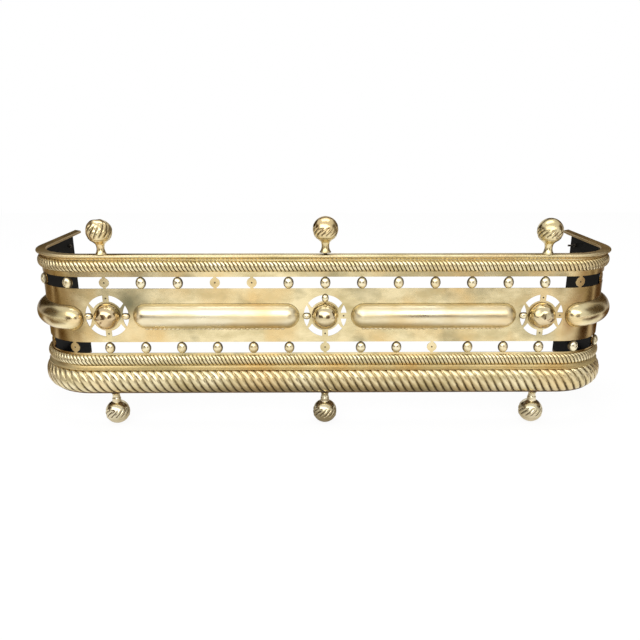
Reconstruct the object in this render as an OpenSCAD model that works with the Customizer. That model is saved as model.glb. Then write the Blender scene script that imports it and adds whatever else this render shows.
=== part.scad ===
// Pierced brass fire fender: a straight front, two rounded corners and two returns, open at the back.
// Lengths are in millimetres. +Z is up, the front faces -Y and the origin is under the middle of the box.

/* [Plan] */
// Spacing of the beads along the panel, centre to centre
bead_pitch = 66; // [62:1:72]
// Number of bead spacings from one medallion to the next
beads_per_bay = 6; // [5:1:7]
// Straight front left between a side medallion's ring and the corner
corner_lead = 1.5; // [1:0.5:30]
// Radius of the panel's outer face in the corners
corner_r = 99.5; // [85:0.5:120]
// Length of each straight return behind its corner
return_len = 129.5; // [125:0.5:240]
// Distance from a rear foot's axis to the end of the return
rear_foot_inset = 28; // [24:1:40]
// Distance from the panel's face back to the axes of the feet
foot_inset = 6; // [5:0.5:12]

/* [Panel] */
// Thickness of the pierced sheet
panel_t = 1.5; // [1.2:0.1:2]
// Width of the flange folded inwards along the bottom edge
flange_w = 16; // [15:0.5:20]
// Height of the plain strip above the lower rope
lower_strip_h = 3.4; // [3:0.2:10]
// Height of each row of slots
slot_h = 21.2; // [20:0.2:24]
// Height of the plain band between the two rows of slots
band_h = 101.4; // [95:0.2:120]
// Height of the plain strip under the upper rope
upper_strip_h = 9.2; // [6:0.1:16]
// Solid strip left at the rear end of each row of slots
end_strip = 12; // [9:1:16]
// Diameter of the disc that carries a bead
tab_d = 18; // [16:0.5:19]
// Width of the two necks that hold each disc
tab_neck = 5.5; // [4:0.5:8]

/* [Mouldings] */
// Height of the large rope moulding at the base
base_rope_h = 46; // [38:1:52]
// How far the base rope stands out
base_rope_out = 14.5; // [11:0.5:18]
// Distance from strand to strand along the base rope
base_strand = 14.5; // [13:0.5:20]
// Depth of the grooves between the strands of the base rope
base_groove = 3; // [1.5:0.25:3.5]
// Height of each of the two small ropes
rope_h = 21; // [17:0.5:24]
// How far the small ropes stand out
rope_out = 7; // [5:0.5:9]
// Distance from strand to strand along the small ropes
strand = 7.2; // [6.8:0.1:10]
// Depth of the grooves between the strands of the small ropes
groove = 1.5; // [0.8:0.1:2]
// Height of the hollow moulding above the base rope
base_cove_h = 7.3; // [6:0.1:10]
// How far the base cove stands out at its foot
base_cove_out = 7.5; // [7:0.5:10]
// Height of the hollow under the rail
rail_cove_h = 5.3; // [3:0.1:6]

/* [Rail] */
// Width of the flat top rail
rail_w = 19; // [17:0.5:24]
// Thickness of the rail, whose edges are half round
rail_t = 5.5; // [4:0.5:8]
// How far the rail stands out beyond the panel
rail_out = 8; // [7:0.5:9.5]
// How far the outer edge of the rail runs on past the rear edge of the panel
rail_over = 54; // [30:1:60]
// How much sooner the inner edge of the rail ends, at the slanted cuts
rail_slant = 15; // [4:0.5:25]

/* [Medallions] */
// How far the medallions and the long bosses sit below the middle of the band
medallion_drop = 1; // [0:0.5:3]
// Outer radius of the ring of openings round a dome
ring_r = 39.3; // [38:0.1:42]
// Radius of the plain disc inside the openings
disc_r = 28; // [27:0.5:29]
// Width of the four tabs across the ring of openings
ring_tab = 11; // [10:0.5:13]
// Radius of the hollow dome
dome_r = 24.5; // [20:0.5:26]
// Sheet thickness of the domes and of the long bosses
pressing_t = 1.2; // [0.8:0.1:1.6]
// Diameter of the stud inside a dome
dome_stud_d = 5; // [4:0.5:6]

/* [Bosses] */
// Height of the long half-round bosses
boss_h = 47.5; // [36:0.5:50]
// How far the long bosses stand out
boss_out = 18.5; // [14:0.5:21]
// Bare panel between a medallion's ring and the end of a boss
boss_gap = 7.5; // [5:0.5:20]
// The same at the front end of a corner boss
corner_boss_gap = 4; // [3:0.5:20]
// How much lower the left corner boss sits than the other bosses
left_boss_drop = 4; // [0:0.5:6]
// Bare panel between the rear end of a corner boss and the end of the return
boss_end_gap = 20; // [14:0.5:40]
// Distance from the end of a boss to its stud
boss_stud_in = 60; // [45:1:80]
// Diameter of the studs that hold the bosses and the lining
stud_d = 4; // [3:0.5:5]

/* [Beads] */
// Width of an oval bead
bead_w = 18.5; // [15:0.5:20]
// Height of an oval bead
bead_h = 22; // [20.5:0.5:24]
// How far an oval bead stands out
bead_out = 7.5; // [5:0.5:9]
// Width of a small bead of a medallion, whose long way points at the dome
pearl_w = 12.5; // [10:0.5:14]
// Length of a small bead
pearl_h = 15.5; // [14:0.5:16.5]
// How far a small bead stands out
pearl_out = 5.5; // [3:0.5:6]
// Diameter of a bead's shank
shank_d = 2.6; // [2:0.1:3]
// Thickness of the spread end of a shank behind the panel
spread_h = 1; // [0.6:0.1:1.4]

/* [Finials and feet] */
// Diameter of the fluted balls
ball_d = 45; // [38:0.5:48]
// Number of flutes round a ball
flutes = 20; // [12:1:20]
// Depth of the flutes
flute_depth = 1.5; // [0.8:0.1:2]
// Height of a finial's neck
finial_neck_h = 18.5; // [15:0.5:24]
// Diameter of a finial's flared base
finial_base_d = 21; // [17:0.5:22]
// Diameter of a finial's neck at its waist
finial_waist_d = 13.4; // [11:0.2:15]
// Diameter of the stud under each finial
finial_stud_d = 6; // [5:0.5:8]
// How far the middle finial is unscrewed from the rail
finial_lift = 3.5; // [0:0.5:6]
// Height of a foot's neck between its ball and the sole plate
foot_neck_h = 17.2; // [14:0.1:22]
// Diameter of a foot's neck at its waist
foot_waist_d = 13.4; // [11:0.2:15]
// Diameter of the foot's spigot in the sole plate
spigot_d = 8; // [6:0.5:10]

/* [Ironwork] */
// Thickness of the sole plate under the mouldings
sole_t = 2.5; // [2:0.5:5]
// How far the sole plate reaches out under the base rope
sole_out = 1; // [0:0.5:8]
// Gap between the panel's flange and the upright leg of the sole plate
kerb_gap = 0.5; // [0.5:0.5:5]
// Height of that leg above the plate
kerb_h = 40; // [20:1:50]
// Thickness of the lining plates of the returns
lining_t = 1.5; // [1:0.1:2]
// Space between the panel and a lining plate
lining_gap = 5; // [4.6:0.1:6]
// How far a lining plate runs forward into the corner
lining_lead = 22; // [10:1:30]
// Distance from the end of a return to the nearest studs of its lining
lining_stud_in = 28; // [10:0.5:40]
// Distance from the end of a corner to the other studs of the lining
lining_stud_lead = 25; // [15:1:40]
// Diameter of the rivets through the flange and the sole plate
rivet_d = 4; // [3:0.5:5]
// Distance from the flange's inner edge to the rivets
rivet_in = 5.5; // [4.5:0.5:8]

/* [Clearances] */
// Gap between pieces that are seated on each other
seat = 0.1; // [0.05:0.05:0.2]
// Gap round a stud, shank, spigot or rivet in its hole, on the diameter
hole_gap = 0.4; // [0.2:0.1:0.6]

/* [Hidden] */
$fn = 96;
through = 60;               // length of a cutter that passes right through a wall
lap = 1;                    // how far a fused shape reaches into its neighbour

brass = "#c8a96a";
pale_brass = "#d8c08a";
black_iron = "#22201e";
steel = "#6b675f";

// Bays along the path, which runs round the panel's outer face with zero in the middle of the front
medallion_s = beads_per_bay * bead_pitch;
half_straight = medallion_s + ring_r + corner_lead;
arc_len = corner_r * PI / 2;
half_path = half_straight + arc_len + return_len;
back_y = corner_r + return_len;
medallions = [-medallion_s, 0, medallion_s];
rear_foot_s = half_path - rear_foot_inset;
corner_end = half_straight + arc_len;

// Heights, from the floor up
foot_flat = 0.3;            // how much of the ball is cut off level at the floor
ball_r = ball_d / 2;
foot_h = ball_d - foot_flat + foot_neck_h;
panel_z = foot_h + sole_t;
base_rope_z = panel_z + base_rope_h / 2;
base_cove_z = panel_z + base_rope_h;
lower_rope_z = base_cove_z + base_cove_h + rope_h / 2;
lower_slot_z = lower_rope_z + rope_h / 2 + lower_strip_h + slot_h / 2;
upper_slot_z = lower_slot_z + slot_h + band_h;
medallion_z = (lower_slot_z + upper_slot_z) / 2 - medallion_drop;
top_rope_z = upper_slot_z + slot_h / 2 + upper_strip_h + rope_h / 2;
rail_cove_z = top_rope_z + rope_h / 2;
rail_z = rail_cove_z + rail_cove_h;
rail_top = rail_z + rail_t;

// The box's middle from front to back
rail_mid = rail_out - rail_w / 2;
front_reach = max(dome_r + seat, boss_out + seat, ball_r + rail_mid, ball_r - foot_inset,
    base_rope_out + seat);
middle_y = (back_y + rail_over - front_reach) / 2;

// Angles above a side tab at which a long opening round a dome ends
opening_foot = 31;          // where it meets the disc
opening_head = 38;          // where it meets the ring

// Beads, counted from the middle of the front; the bare tabs keep only their hole
last_tab = floor((half_path - end_strip - tab_d / 2) / bead_pitch);
bare_upper = [-6, -3, -2, 7, 8];
bare_lower = [-8, -7, 0, 3];
pearl_r = (ring_r + disc_r) / 2;
// Which of the right, top, left and bottom tabs of each medallion still has its bead
pearls_left = [0, 180];
pearls_centre = [90, 180];
pearls_right = [180];

// Long bosses
front_boss = [ring_r + boss_gap, medallion_s - ring_r - boss_gap];
corner_boss = [medallion_s + ring_r + corner_boss_gap, half_path - boss_end_gap];
boss_studs = [for (boss = [front_boss, corner_boss]) each [boss[0] + boss_stud_in, boss[1] - boss_stud_in]];
boss_arc_r = (pow(boss_h / 2, 2) + pow(boss_out, 2)) / (2 * boss_out);
end_tuck = 0.15;             // how much smaller a boss's round end is, so that its rim fits inside the wall
nut_h = 3;
nut_more = 3;               // how much wider across its flats a nut is than its stud
stud_end = 0.3;             // how far a stud stands out past its nut
stud_back = panel_t + seat + nut_h + stud_end;

// Flange rivets, between the feet
rivet_out = rivet_in - flange_w - panel_t;
rivet_head_d = 7;
rivet_head_h = 1.6;
bay = medallion_s / 6;
rear_bay = (rear_foot_s - medallion_s) / 3;
rivets = concat([for (n = [1, 3, 5]) n * bay], [for (n = [1, 2]) medallion_s + n * rear_bay]);

// Lining plates and their studs
lining_out = -(panel_t + lining_gap);
lining_z = panel_z + panel_t + seat;
lining_end = 2;
strip_z = upper_slot_z + slot_h / 2 + upper_strip_h / 2;
front_stud_s = corner_end + lining_stud_lead;
rear_stud_s = half_path - lining_stud_in;
lining_studs_at = [
    [front_stud_s, lower_rope_z], [front_stud_s, strip_z],
    [rear_stud_s, lower_rope_z], [rear_stud_s, top_rope_z]
];
shoulder_d = stud_d + nut_more;
lining_stud_end = 2.3;      // how far these studs stand out past their nuts
long_stud_end = 13;         // the same for the uppermost stud at the rear of the right return
kerb_in = panel_t + flange_w + kerb_gap;
sole_in = kerb_in + sole_t;

band_low = -20;             // latitude of the lower end of a ball's flutes
band_high = 36;             // latitude of the upper end
band_tuck = 0.3;            // how far inside the ball's outline the ends of the flutes are
finial_ball_z = finial_neck_h + ball_r;
socket_depth = 12;
taper_lat = 40;             // latitude where a ball begins to taper towards its neck
taper_h = 2.6;              // how far past the ball's outline the taper runs along the neck
ball_rings_at = [[band_low - 3, 1.2], [band_low - 14, 0.8]];    // latitude and thickness of the fine rings
finial_waist_share = 0.6;   // height of a finial's waist, as a share of its neck
foot_waist_share = 0.4;     // the same for a foot, measured from the sole plate down
foot_flare = 3;             // how much a foot's neck widens at the sole plate

// ---- the path round the panel ----

function turn(s) =
    let (a = (abs(s) - half_straight) / corner_r * 180 / PI) sign(s) * min(90, max(0, a));

// Plan position at path length s, a distance out in front of the panel's face
function plan(s, out) =
    let (t = abs(turn(s)), ahead = min(abs(s), half_straight), past = max(0, abs(s) - corner_end))
    [sign(s) * (ahead + (corner_r + out) * sin(t)), corner_r - (corner_r + out) * cos(t) + past];

function at_height(xy, z) = [xy[0], xy[1], z];

// Height of the middle of the boss at path length s
function boss_z(s) = medallion_z - (s < -medallion_s ? left_boss_drop : 0);

// Moves the whole fender so that the origin is under the middle of its box
module in_frame() translate([0, -middle_y, 0]) children();

// Puts children, drawn facing -Y at the origin, on the panel's face at path length s
module on_path(s, z = 0) translate(at_height(plan(s, 0), z)) rotate(turn(s)) children();

// Turns a shape drawn upwards along Z so that it points outwards along -Y
module outward() rotate([90, 0, 0]) children();

// Extrudes a section, drawn as outward distance and height, along the path's direction
module run(len) rotate([90, 0, -90]) linear_extrude(height = len, center = true) children();

module corner() rotate(-90) rotate_extrude(angle = 90) translate([corner_r, 0]) children();

// One corner and return on the right, which ends cut short of the path's end
module right_return(cut) {
    translate([half_straight, corner_r, 0]) corner() children();
    translate([half_straight + corner_r, corner_r + (return_len - cut) / 2, 0]) rotate(90)
        run(return_len - cut) children();
}

// A section carried the whole way round
module round_path(cut = 0) {
    run(2 * half_straight) children();
    right_return(cut) children();
    mirror([1, 0, 0]) right_return(cut) children();
}

module hex(across, h) cylinder(d = across / cos(30), h = h, $fn = 6);

module nut(thread_d) difference() {
    hex(thread_d + nut_more, nut_h);
    translate([0, 0, -lap]) cylinder(d = thread_d + hole_gap / 2, h = nut_h + 2 * lap);
}

// ---- the pierced panel ----

module tab(s, z) on_path(s, z) outward() linear_extrude(height = through, center = true) {
    circle(d = tab_d);
    square([tab_neck, slot_h + 2 * lap], center = true);
}

module slot_row(z) difference() {
    round_path(end_strip) translate([-through / 8, z - slot_h / 2]) square([through / 4, slot_h]);
    for (k = [-last_tab:last_tab]) tab(k * bead_pitch, z);
}

// The part of a medallion's ring beside the dome, which the long openings stop short of
module ring_side() polygon([
    for (edge = [
        [disc_r - lap, -opening_foot], [ring_r + lap, -opening_head],
        [2 * ring_r, -opening_head], [2 * ring_r, opening_head],
        [ring_r + lap, opening_head], [disc_r - lap, opening_foot]
    ])
    edge[0] * [cos(edge[1]), sin(edge[1])]
]);

// Four long openings round the disc and, at each side, two small ones that end in points
module medallion_openings() outward() linear_extrude(height = through, center = true) difference() {
    union() {
        difference() {
            circle(r = ring_r);
            circle(r = disc_r);
            for (side = [0, 180]) rotate(side) ring_side();
        }
        for (side = [0, 180]) rotate(side) intersection() {
            circle(r = ring_r);
            translate([ring_r + disc_r, 0]) circle(r = ring_r);
        }
    }
    square([ring_tab, 2 * ring_r + lap], center = true);
    square([2 * ring_r + lap, ring_tab], center = true);
}

module hole(s, z, d) on_path(s, z) outward() cylinder(d = d + hole_gap, h = through / 4, center = true);

module pierced_panel() color(brass) in_frame() difference() {
    round_path() {
        translate([-panel_t, panel_z]) square([panel_t, rail_z - panel_z]);
        translate([-panel_t - flange_w, panel_z]) square([flange_w + panel_t / 2, panel_t]);
    }
    for (z = [lower_slot_z, upper_slot_z]) {
        slot_row(z);
        for (k = [-last_tab:last_tab]) hole(k * bead_pitch, z, shank_d);
    }
    for (s = medallions) {
        on_path(s, medallion_z) medallion_openings();
        hole(s, medallion_z, dome_stud_d);
        for (a = [0:90:270]) hole(s + pearl_r * cos(a), medallion_z + pearl_r * sin(a), shank_d);
    }
    for (side = [-1, 1], s = boss_studs) hole(side * s, boss_z(side * s), stud_d);
    for (side = [-1, 1], s = rivets) on_path(side * s)
        translate([0, -rivet_out, panel_z - lap]) cylinder(d = rivet_d + hole_gap, h = panel_t + 2 * lap);
}

// ---- twisted mouldings ----

// A half-round rope that leans from upper left to lower right. Each strand has cols columns of
// points, the first of them in the groove, and each step up moves the strand one column along.
module rope(z, high, out, depth, pitch, cols, steps) {
    count = round(2 * half_path / pitch) * cols;
    row = steps + 1;
    points = [
        for (i = [0:count], j = [0:steps])
        let (
            a = -90 + 180 * j / steps,
            in_groove = i > 0 && i < count && (i + j) % cols == 0,
            cut = in_groove ? depth : 0,
            s = half_path * (2 * i / count - 1)
        )
        at_height(plan(s, seat + (out - cut) * cos(a)), z + (high / 2 - seat - cut) * sin(a))
    ];
    front = [
        for (i = [0:count - 1], j = [0:steps - 1])
        let (a = i * row + j, b = a + row)
        each [[a, a + 1, b], [b, a + 1, b + 1]]
    ];
    back = [
        for (i = [0:count - 1])
        let (a = i * row, b = a + row)
        each [[a, b, a + steps], [b, b + steps, a + steps]]
    ];
    ends = [[for (j = [steps:-1:0]) j], [for (j = [0:steps]) count * row + j]];
    polyhedron(points = points, faces = concat(front, back, ends), convexity = 10);
}

module base_rope() color(brass) in_frame()
    rope(base_rope_z, base_rope_h, base_rope_out, base_groove, base_strand, 3, 5);

module lower_rope() color(pale_brass) in_frame()
    rope(lower_rope_z, rope_h, rope_out, groove, strand, 2, 4);

module top_rope() color(pale_brass) in_frame()
    rope(top_rope_z, rope_h, rope_out, groove, strand, 2, 4);

// ---- plain mouldings ----

// A slope with a gentle hollow, from a lip at its foot up to the panel
module cove(out, high, lip) {
    foot = [out, lip];
    head = [seat + lip, high];
    span = norm(head - foot) / 2;
    bow = 2 * high;
    outwards = [head[1] - foot[1], foot[0] - head[0]] / (2 * span);
    difference() {
        polygon([[seat, 0], [out, 0], foot, head, [seat, high]]);
        translate((foot + head) / 2 + sqrt(bow * bow - span * span) * outwards) circle(r = bow - lap / 10);
    }
}

module base_cove() color(brass) in_frame() round_path()
    translate([0, base_cove_z]) cove(base_cove_out, base_cove_h - seat, lap);

module rail_section() {
    translate([rail_out - rail_w + rail_t / 2, rail_z]) square([rail_w - rail_t, rail_t]);
    for (x = [rail_out - rail_t / 2, rail_out - rail_w + rail_t / 2])
        translate([x, rail_z + rail_t / 2]) circle(d = rail_t);
    difference() {
        translate([seat, rail_cove_z]) square([rail_out - rail_t / 2 - seat, rail_cove_h + rail_t / 4]);
        translate([rail_out - rail_t / 2, rail_cove_z]) circle(r = rail_cove_h);
    }
}

// The waste cut off a return's end, which leaves the outer edge of the rail longer than the inner
module mitre_waste() translate([half_straight + corner_r, back_y + rail_over, rail_cove_z - lap])
    linear_extrude(height = rail_top - rail_cove_z + 2 * lap) polygon([
        [rail_out, 0], [rail_out, lap], [rail_out - rail_w - lap, lap],
        [rail_out - rail_w - lap, -rail_slant], [rail_out - rail_w, -rail_slant]
    ]);

module top_rail() color(brass) in_frame() difference() {
    round_path(-rail_over) rail_section();
    for (side = [0, 1]) mirror([side, 0, 0]) mitre_waste();
    for (s = medallions) translate([s, -rail_mid, rail_z - lap])
        cylinder(d = finial_stud_d + hole_gap, h = rail_t + 2 * lap);
}

// ---- ironwork ----

module sole_plate() color(black_iron) in_frame() difference() {
    round_path() translate([-sole_in, foot_h]) {
        square([sole_in + sole_out, sole_t]);
        square([sole_t, sole_t + kerb_h]);
    }
    for (s = concat(medallions, [-rear_foot_s, rear_foot_s])) on_path(s)
        translate([0, foot_inset, foot_h - lap]) cylinder(d = spigot_d + hole_gap, h = sole_t + 2 * lap);
    for (side = [-1, 1], s = rivets) on_path(side * s)
        translate([0, -rivet_out, foot_h - lap]) cylinder(d = rivet_d + hole_gap, h = sole_t + 2 * lap);
}

module rivet() {
    grip = sole_t + panel_t;
    translate([0, 0, -seat - rivet_head_h]) cylinder(d = rivet_d, h = grip + 2 * (seat + rivet_head_h));
    translate([0, 0, -seat - rivet_head_h]) cylinder(d = rivet_head_d, h = rivet_head_h);
    translate([0, 0, grip + seat]) cylinder(d = rivet_head_d, h = rivet_head_h);
}

module sole_rivets() color(steel) in_frame() for (side = [-1, 1], s = rivets) on_path(side * s)
    translate([0, -rivet_out, foot_h]) rivet();

module lining() difference() {
    translate([half_straight + corner_r + lining_out - lining_t, corner_r - lining_lead, lining_z])
        cube([lining_t, lining_lead + return_len - lining_end, rail_z - seat - lining_z]);
    for (at = lining_studs_at) on_path(at[0], at[1]) outward()
        cylinder(d = stud_d + hole_gap, h = through, center = true);
}

module lining_right() color(black_iron) in_frame() lining();

module lining_left() color(black_iron) in_frame() mirror([1, 0, 0]) lining();

// A shouldered stud fixed to the inside of the panel, whose shoulder keeps the lining clear of it
module lining_stud(end) rotate([-90, 0, 0]) translate([0, 0, panel_t + seat]) {
    cylinder(d = shoulder_d, h = lining_gap - 2 * seat);
    cylinder(d = stud_d, h = lining_gap + lining_t + nut_h + end - seat);
}

module lining_studs() color(steel) in_frame() for (side = [-1, 1], at = lining_studs_at)
    on_path(side * at[0], at[1])
        lining_stud(side > 0 && at == lining_studs_at[3] ? long_stud_end : lining_stud_end);

module lining_nuts() color(steel) in_frame()
    for (side = [-1, 1], at = lining_studs_at) on_path(side * at[0], at[1])
        rotate([-90, 0, 0]) translate([0, 0, lining_t - lining_out + seat]) nut(stud_d);

// ---- long bosses ----

// The section of a pressed boss, as a hollow half round that goes down behind the panel's face
module boss_section(tuck = 0) translate([boss_out + seat - boss_arc_r, 0]) difference() {
    circle(r = boss_arc_r - tuck);
    circle(r = boss_arc_r - tuck - pressing_t);
    translate([-2 * boss_arc_r, -boss_arc_r]) square([2 * boss_arc_r, 2 * boss_arc_r]);
}

// A round end: half the section turned about the line that points straight out of the panel. It is
// a hair smaller than the boss, and its rim is tucked inside the boss's wall.
module boss_end(s, facing) on_path(s) {
    rotate([90, 0, 0]) rotate(facing > 0 ? -90 : 90) rotate_extrude(angle = 180) intersection() {
        rotate(90) boss_section(end_tuck);
        translate([0, -through]) square(2 * through);
    }
    translate([-facing * lap / 2, 0, 0]) run(lap) boss_section(end_tuck);
}

module boss_stud(s) on_path(s) rotate([90, 0, 0]) translate([0, 0, -stud_back])
    cylinder(d = stud_d, h = stud_back + boss_out - pressing_t / 2);

// Everything behind a line just in front of the panel's face
module behind_panel() linear_extrude(height = 2 * boss_h, center = true) {
    translate([-half_straight, -seat]) square([2 * half_straight, corner_r]);
    for (x = [-half_straight, half_straight]) translate([x, corner_r]) circle(r = corner_r + seat);
    translate([-half_straight - corner_r - seat, corner_r])
        square([2 * (half_straight + corner_r + seat), return_len + through]);
}

// A boss on the right side of the fender, with the middle of its height at zero
module front_boss() {
    difference() {
        union() {
            translate([(front_boss[0] + front_boss[1]) / 2, 0, 0])
                run(front_boss[1] - front_boss[0] - boss_h) boss_section();
            boss_end(front_boss[0] + boss_h / 2, -1);
            boss_end(front_boss[1] - boss_h / 2, 1);
        }
        behind_panel();
    }
    for (s = [front_boss[0] + boss_stud_in, front_boss[1] - boss_stud_in]) boss_stud(s);
}

module corner_boss() {
    first = corner_boss[0] + boss_h / 2;
    last = corner_boss[1] - boss_h / 2;
    lead = max(0, half_straight - first);
    start = turn(first);
    side_len = last - corner_end;
    difference() {
        union() {
            boss_end(first, -1);
            if (lead > 0) translate([half_straight - lead / 2, 0, 0]) run(lead) boss_section();
            translate([half_straight, corner_r, 0]) mirror([0, 1, 0])
                rotate_extrude(angle = 90 - start) translate([corner_r, 0]) boss_section();
            translate([half_straight + corner_r, corner_r + side_len / 2, 0]) rotate(90)
                run(side_len) boss_section();
            boss_end(last, 1);
        }
        behind_panel();
    }
    for (s = [corner_boss[0] + boss_stud_in, corner_boss[1] - boss_stud_in]) boss_stud(s);
}

// Puts a boss, drawn on the right, on the side and at the height where it belongs
module boss_at(s) color(brass) in_frame() translate([0, 0, boss_z(s)]) mirror([s < 0 ? 1 : 0, 0, 0])
    children();

module boss_front_right() boss_at(front_boss[0]) front_boss();

module boss_front_left() boss_at(-front_boss[0]) front_boss();

module boss_corner_right() boss_at(corner_boss[0]) corner_boss();

module boss_corner_left() boss_at(-corner_boss[0]) corner_boss();

module boss_nuts() color(steel) in_frame() for (side = [-1, 1], s = boss_studs)
    on_path(side * s, boss_z(side * s)) rotate([-90, 0, 0]) translate([0, 0, panel_t + seat])
        nut(stud_d);

// ---- domes ----

module dome() rotate([90, 0, 0]) {
    translate([0, 0, seat]) rotate_extrude() difference() {
        circle(r = dome_r);
        circle(r = dome_r - pressing_t);
        translate([-dome_r, -2 * dome_r]) square([2 * dome_r, 2 * dome_r]);
        translate([-2 * dome_r, -dome_r]) square([2 * dome_r, 2 * dome_r]);
    }
    translate([0, 0, -stud_back]) cylinder(d = dome_stud_d, h = stud_back + dome_r - pressing_t / 2);
}

module dome_left() color(brass) in_frame() on_path(-medallion_s, medallion_z) dome();

module dome_centre() color(brass) in_frame() on_path(0, medallion_z) dome();

module dome_right() color(brass) in_frame() on_path(medallion_s, medallion_z) dome();

module dome_nuts() color(steel) in_frame() for (s = medallions) on_path(s, medallion_z)
    rotate([-90, 0, 0]) translate([0, 0, panel_t + seat]) nut(dome_stud_d);

// ---- beads ----

// Half of a domed head's section, drawn as radius and height
module dome_half(wide, out) {
    r = (pow(wide / 2, 2) + pow(out, 2)) / (2 * out);
    intersection() {
        translate([0, out - r]) circle(r = r);
        square([wide, out]);
    }
}

// A domed head with round ends, on a shank that is spread behind the panel
module button(wide, high, out) outward() {
    straight = high - wide;
    translate([0, 0, seat]) {
        for (end = [0, 180]) rotate(end) translate([0, straight / 2, 0])
            rotate_extrude(angle = 180) dome_half(wide, out);
        if (straight > 0) rotate([90, 0, 0]) linear_extrude(height = straight, center = true) {
            dome_half(wide, out);
            mirror([1, 0]) dome_half(wide, out);
        }
    }
    translate([0, 0, -panel_t - seat]) cylinder(d = shank_d, h = panel_t + 2 * seat + out / 2);
    translate([0, 0, -panel_t - seat - spread_h]) cylinder(d = 2 * shank_d, h = spread_h);
}

module beads(z, bare, from, to) color(pale_brass) in_frame()
    for (k = [from:to]) if (len(search(k, bare)) == 0)
        on_path(k * bead_pitch, z) button(bead_w, bead_h, bead_out);

module upper_beads_front() beads(upper_slot_z, bare_upper, -beads_per_bay, beads_per_bay);

module upper_beads_left() beads(upper_slot_z, bare_upper, -last_tab, -beads_per_bay - 1);

module upper_beads_right() beads(upper_slot_z, bare_upper, beads_per_bay + 1, last_tab);

module lower_beads_front() beads(lower_slot_z, bare_lower, -beads_per_bay, beads_per_bay);

module lower_beads_left() beads(lower_slot_z, bare_lower, -last_tab, -beads_per_bay - 1);

module lower_beads_right() beads(lower_slot_z, bare_lower, beads_per_bay + 1, last_tab);

module pearls(s, angles) color(pale_brass) in_frame() for (a = angles)
    on_path(s + pearl_r * cos(a), medallion_z + pearl_r * sin(a)) rotate([0, 90 - a, 0])
        button(pearl_w, pearl_h, pearl_out);

module pearls_left() pearls(-medallion_s, pearls_left);

module pearls_centre() pearls(0, pearls_centre);

module pearls_right() pearls(medallion_s, pearls_right);

// ---- fluted balls ----

// The band of slanted flutes round a ball. Its smooth ends reach into the plain parts of the ball
// above and below it, and are a hair smaller than they are.
module flute_band(steps = 3) {
    cols = 2 * flutes;
    points = [
        for (i = [0:cols - 1], j = [0:steps])
        let (
            lat = band_low + (band_high - band_low) * j / steps,
            r = ball_r - ((i - j) % 2 == 0 ? 0 : flute_depth),
            a = 360 * i / cols,
            end_z = ball_r * sin(lat) + (j == 0 ? -lap : lap),
            at = j == 0 || j == steps
                ? [sqrt(ball_r * ball_r - end_z * end_z) - band_tuck, end_z]
                : [r * cos(lat), r * sin(lat)]
        )
        [at[0] * cos(a), at[0] * sin(a), at[1]]
    ];
    row = steps + 1;
    sides = [
        for (i = [0:cols - 1], j = [0:steps - 1])
        let (a = i * row + j, b = (i + 1) % cols * row + j)
        each [[a, a + 1, b + 1], [a, b + 1, b]]
    ];
    ends = [[for (i = [0:cols - 1]) i * row], [for (i = [cols - 1:-1:0]) i * row + steps]];
    polyhedron(points = points, faces = concat(sides, ends), convexity = 4);
}

// Half of the ball's outline below or above the flutes, with the two fine rings under them
module ball_half_section(low, high) intersection() {
    circle(r = ball_r);
    translate([0, low]) square([ball_d, high - low]);
}

module ball_rings() for (ring = ball_rings_at)
    translate((ball_r - ring[1] / 4) * [cos(ring[0]), sin(ring[0])]) circle(r = ring[1]);

// The taper from a ball into a neck above it
module neck_taper(waist_r) polygon([
    [0, ball_r * sin(taper_lat)], (ball_r - band_tuck) * [cos(taper_lat), sin(taper_lat)],
    [waist_r, ball_r + taper_h], [0, ball_r + taper_h]
]);

// A neck with a hollow side: base radius, waist radius, and the height of the waist
module neck_section(base_r, waist_r, waist_z, high) {
    drop = base_r - waist_r;
    r = (pow(drop, 2) + pow(waist_z, 2)) / (2 * drop);
    difference() {
        square([base_r, high]);
        translate([waist_r + r, waist_z]) circle(r = r);
    }
}

module finial() difference() {
    union() {
        rotate_extrude() {
            neck_section(finial_base_d / 2, finial_waist_d / 2, finial_neck_h * finial_waist_share,
                finial_neck_h + 2 * lap);
            translate([0, finial_ball_z]) {
                ball_half_section(-ball_r, ball_r * sin(band_low));
                ball_rings();
                mirror([0, 1]) neck_taper(finial_waist_d / 2);
            }
        }
        translate([0, 0, finial_ball_z]) {
            flute_band();
            rotate_extrude() ball_half_section(ball_r * sin(band_high), ball_r);
        }
    }
    translate([0, 0, -lap]) cylinder(d = finial_stud_d + hole_gap, h = socket_depth + lap);
}

function lift(s) = rail_top + (s == 0 ? finial_lift : seat);

module finial_at(s) color(brass) in_frame() translate([s, -rail_mid, lift(s)]) finial();

module finial_left() finial_at(-medallion_s);

module finial_centre() finial_at(0);

module finial_right() finial_at(medallion_s);

module finial_studs() color(steel) in_frame() for (s = medallions)
    translate([s, -rail_mid, rail_z + seat])
        cylinder(d = finial_stud_d, h = lift(s) - rail_z + socket_depth - 2 * seat);

module foot() {
    translate([0, 0, ball_r - foot_flat]) {
        rotate_extrude() {
            ball_half_section(-ball_r + foot_flat, ball_r * sin(band_low));
            ball_rings();
        }
        flute_band();
        rotate_extrude() {
            ball_half_section(ball_r * sin(band_high), ball_r);
            neck_taper(foot_waist_d / 2);
        }
    }
    translate([0, 0, foot_h]) mirror([0, 0, 1]) rotate_extrude()
        neck_section(foot_waist_d / 2 + foot_flare, foot_waist_d / 2, foot_neck_h * foot_waist_share,
            foot_neck_h + 2 * lap);
    translate([0, 0, foot_h - lap]) cylinder(d = spigot_d, h = sole_t + lap - seat);
}

module foot_at(s) color(brass) in_frame() on_path(s) translate([0, foot_inset, 0]) foot();

module foot_left() foot_at(-medallion_s);

module foot_centre() foot_at(0);

module foot_right() foot_at(medallion_s);

module foot_rear_left() foot_at(-rear_foot_s);

module foot_rear_right() foot_at(rear_foot_s);

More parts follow.
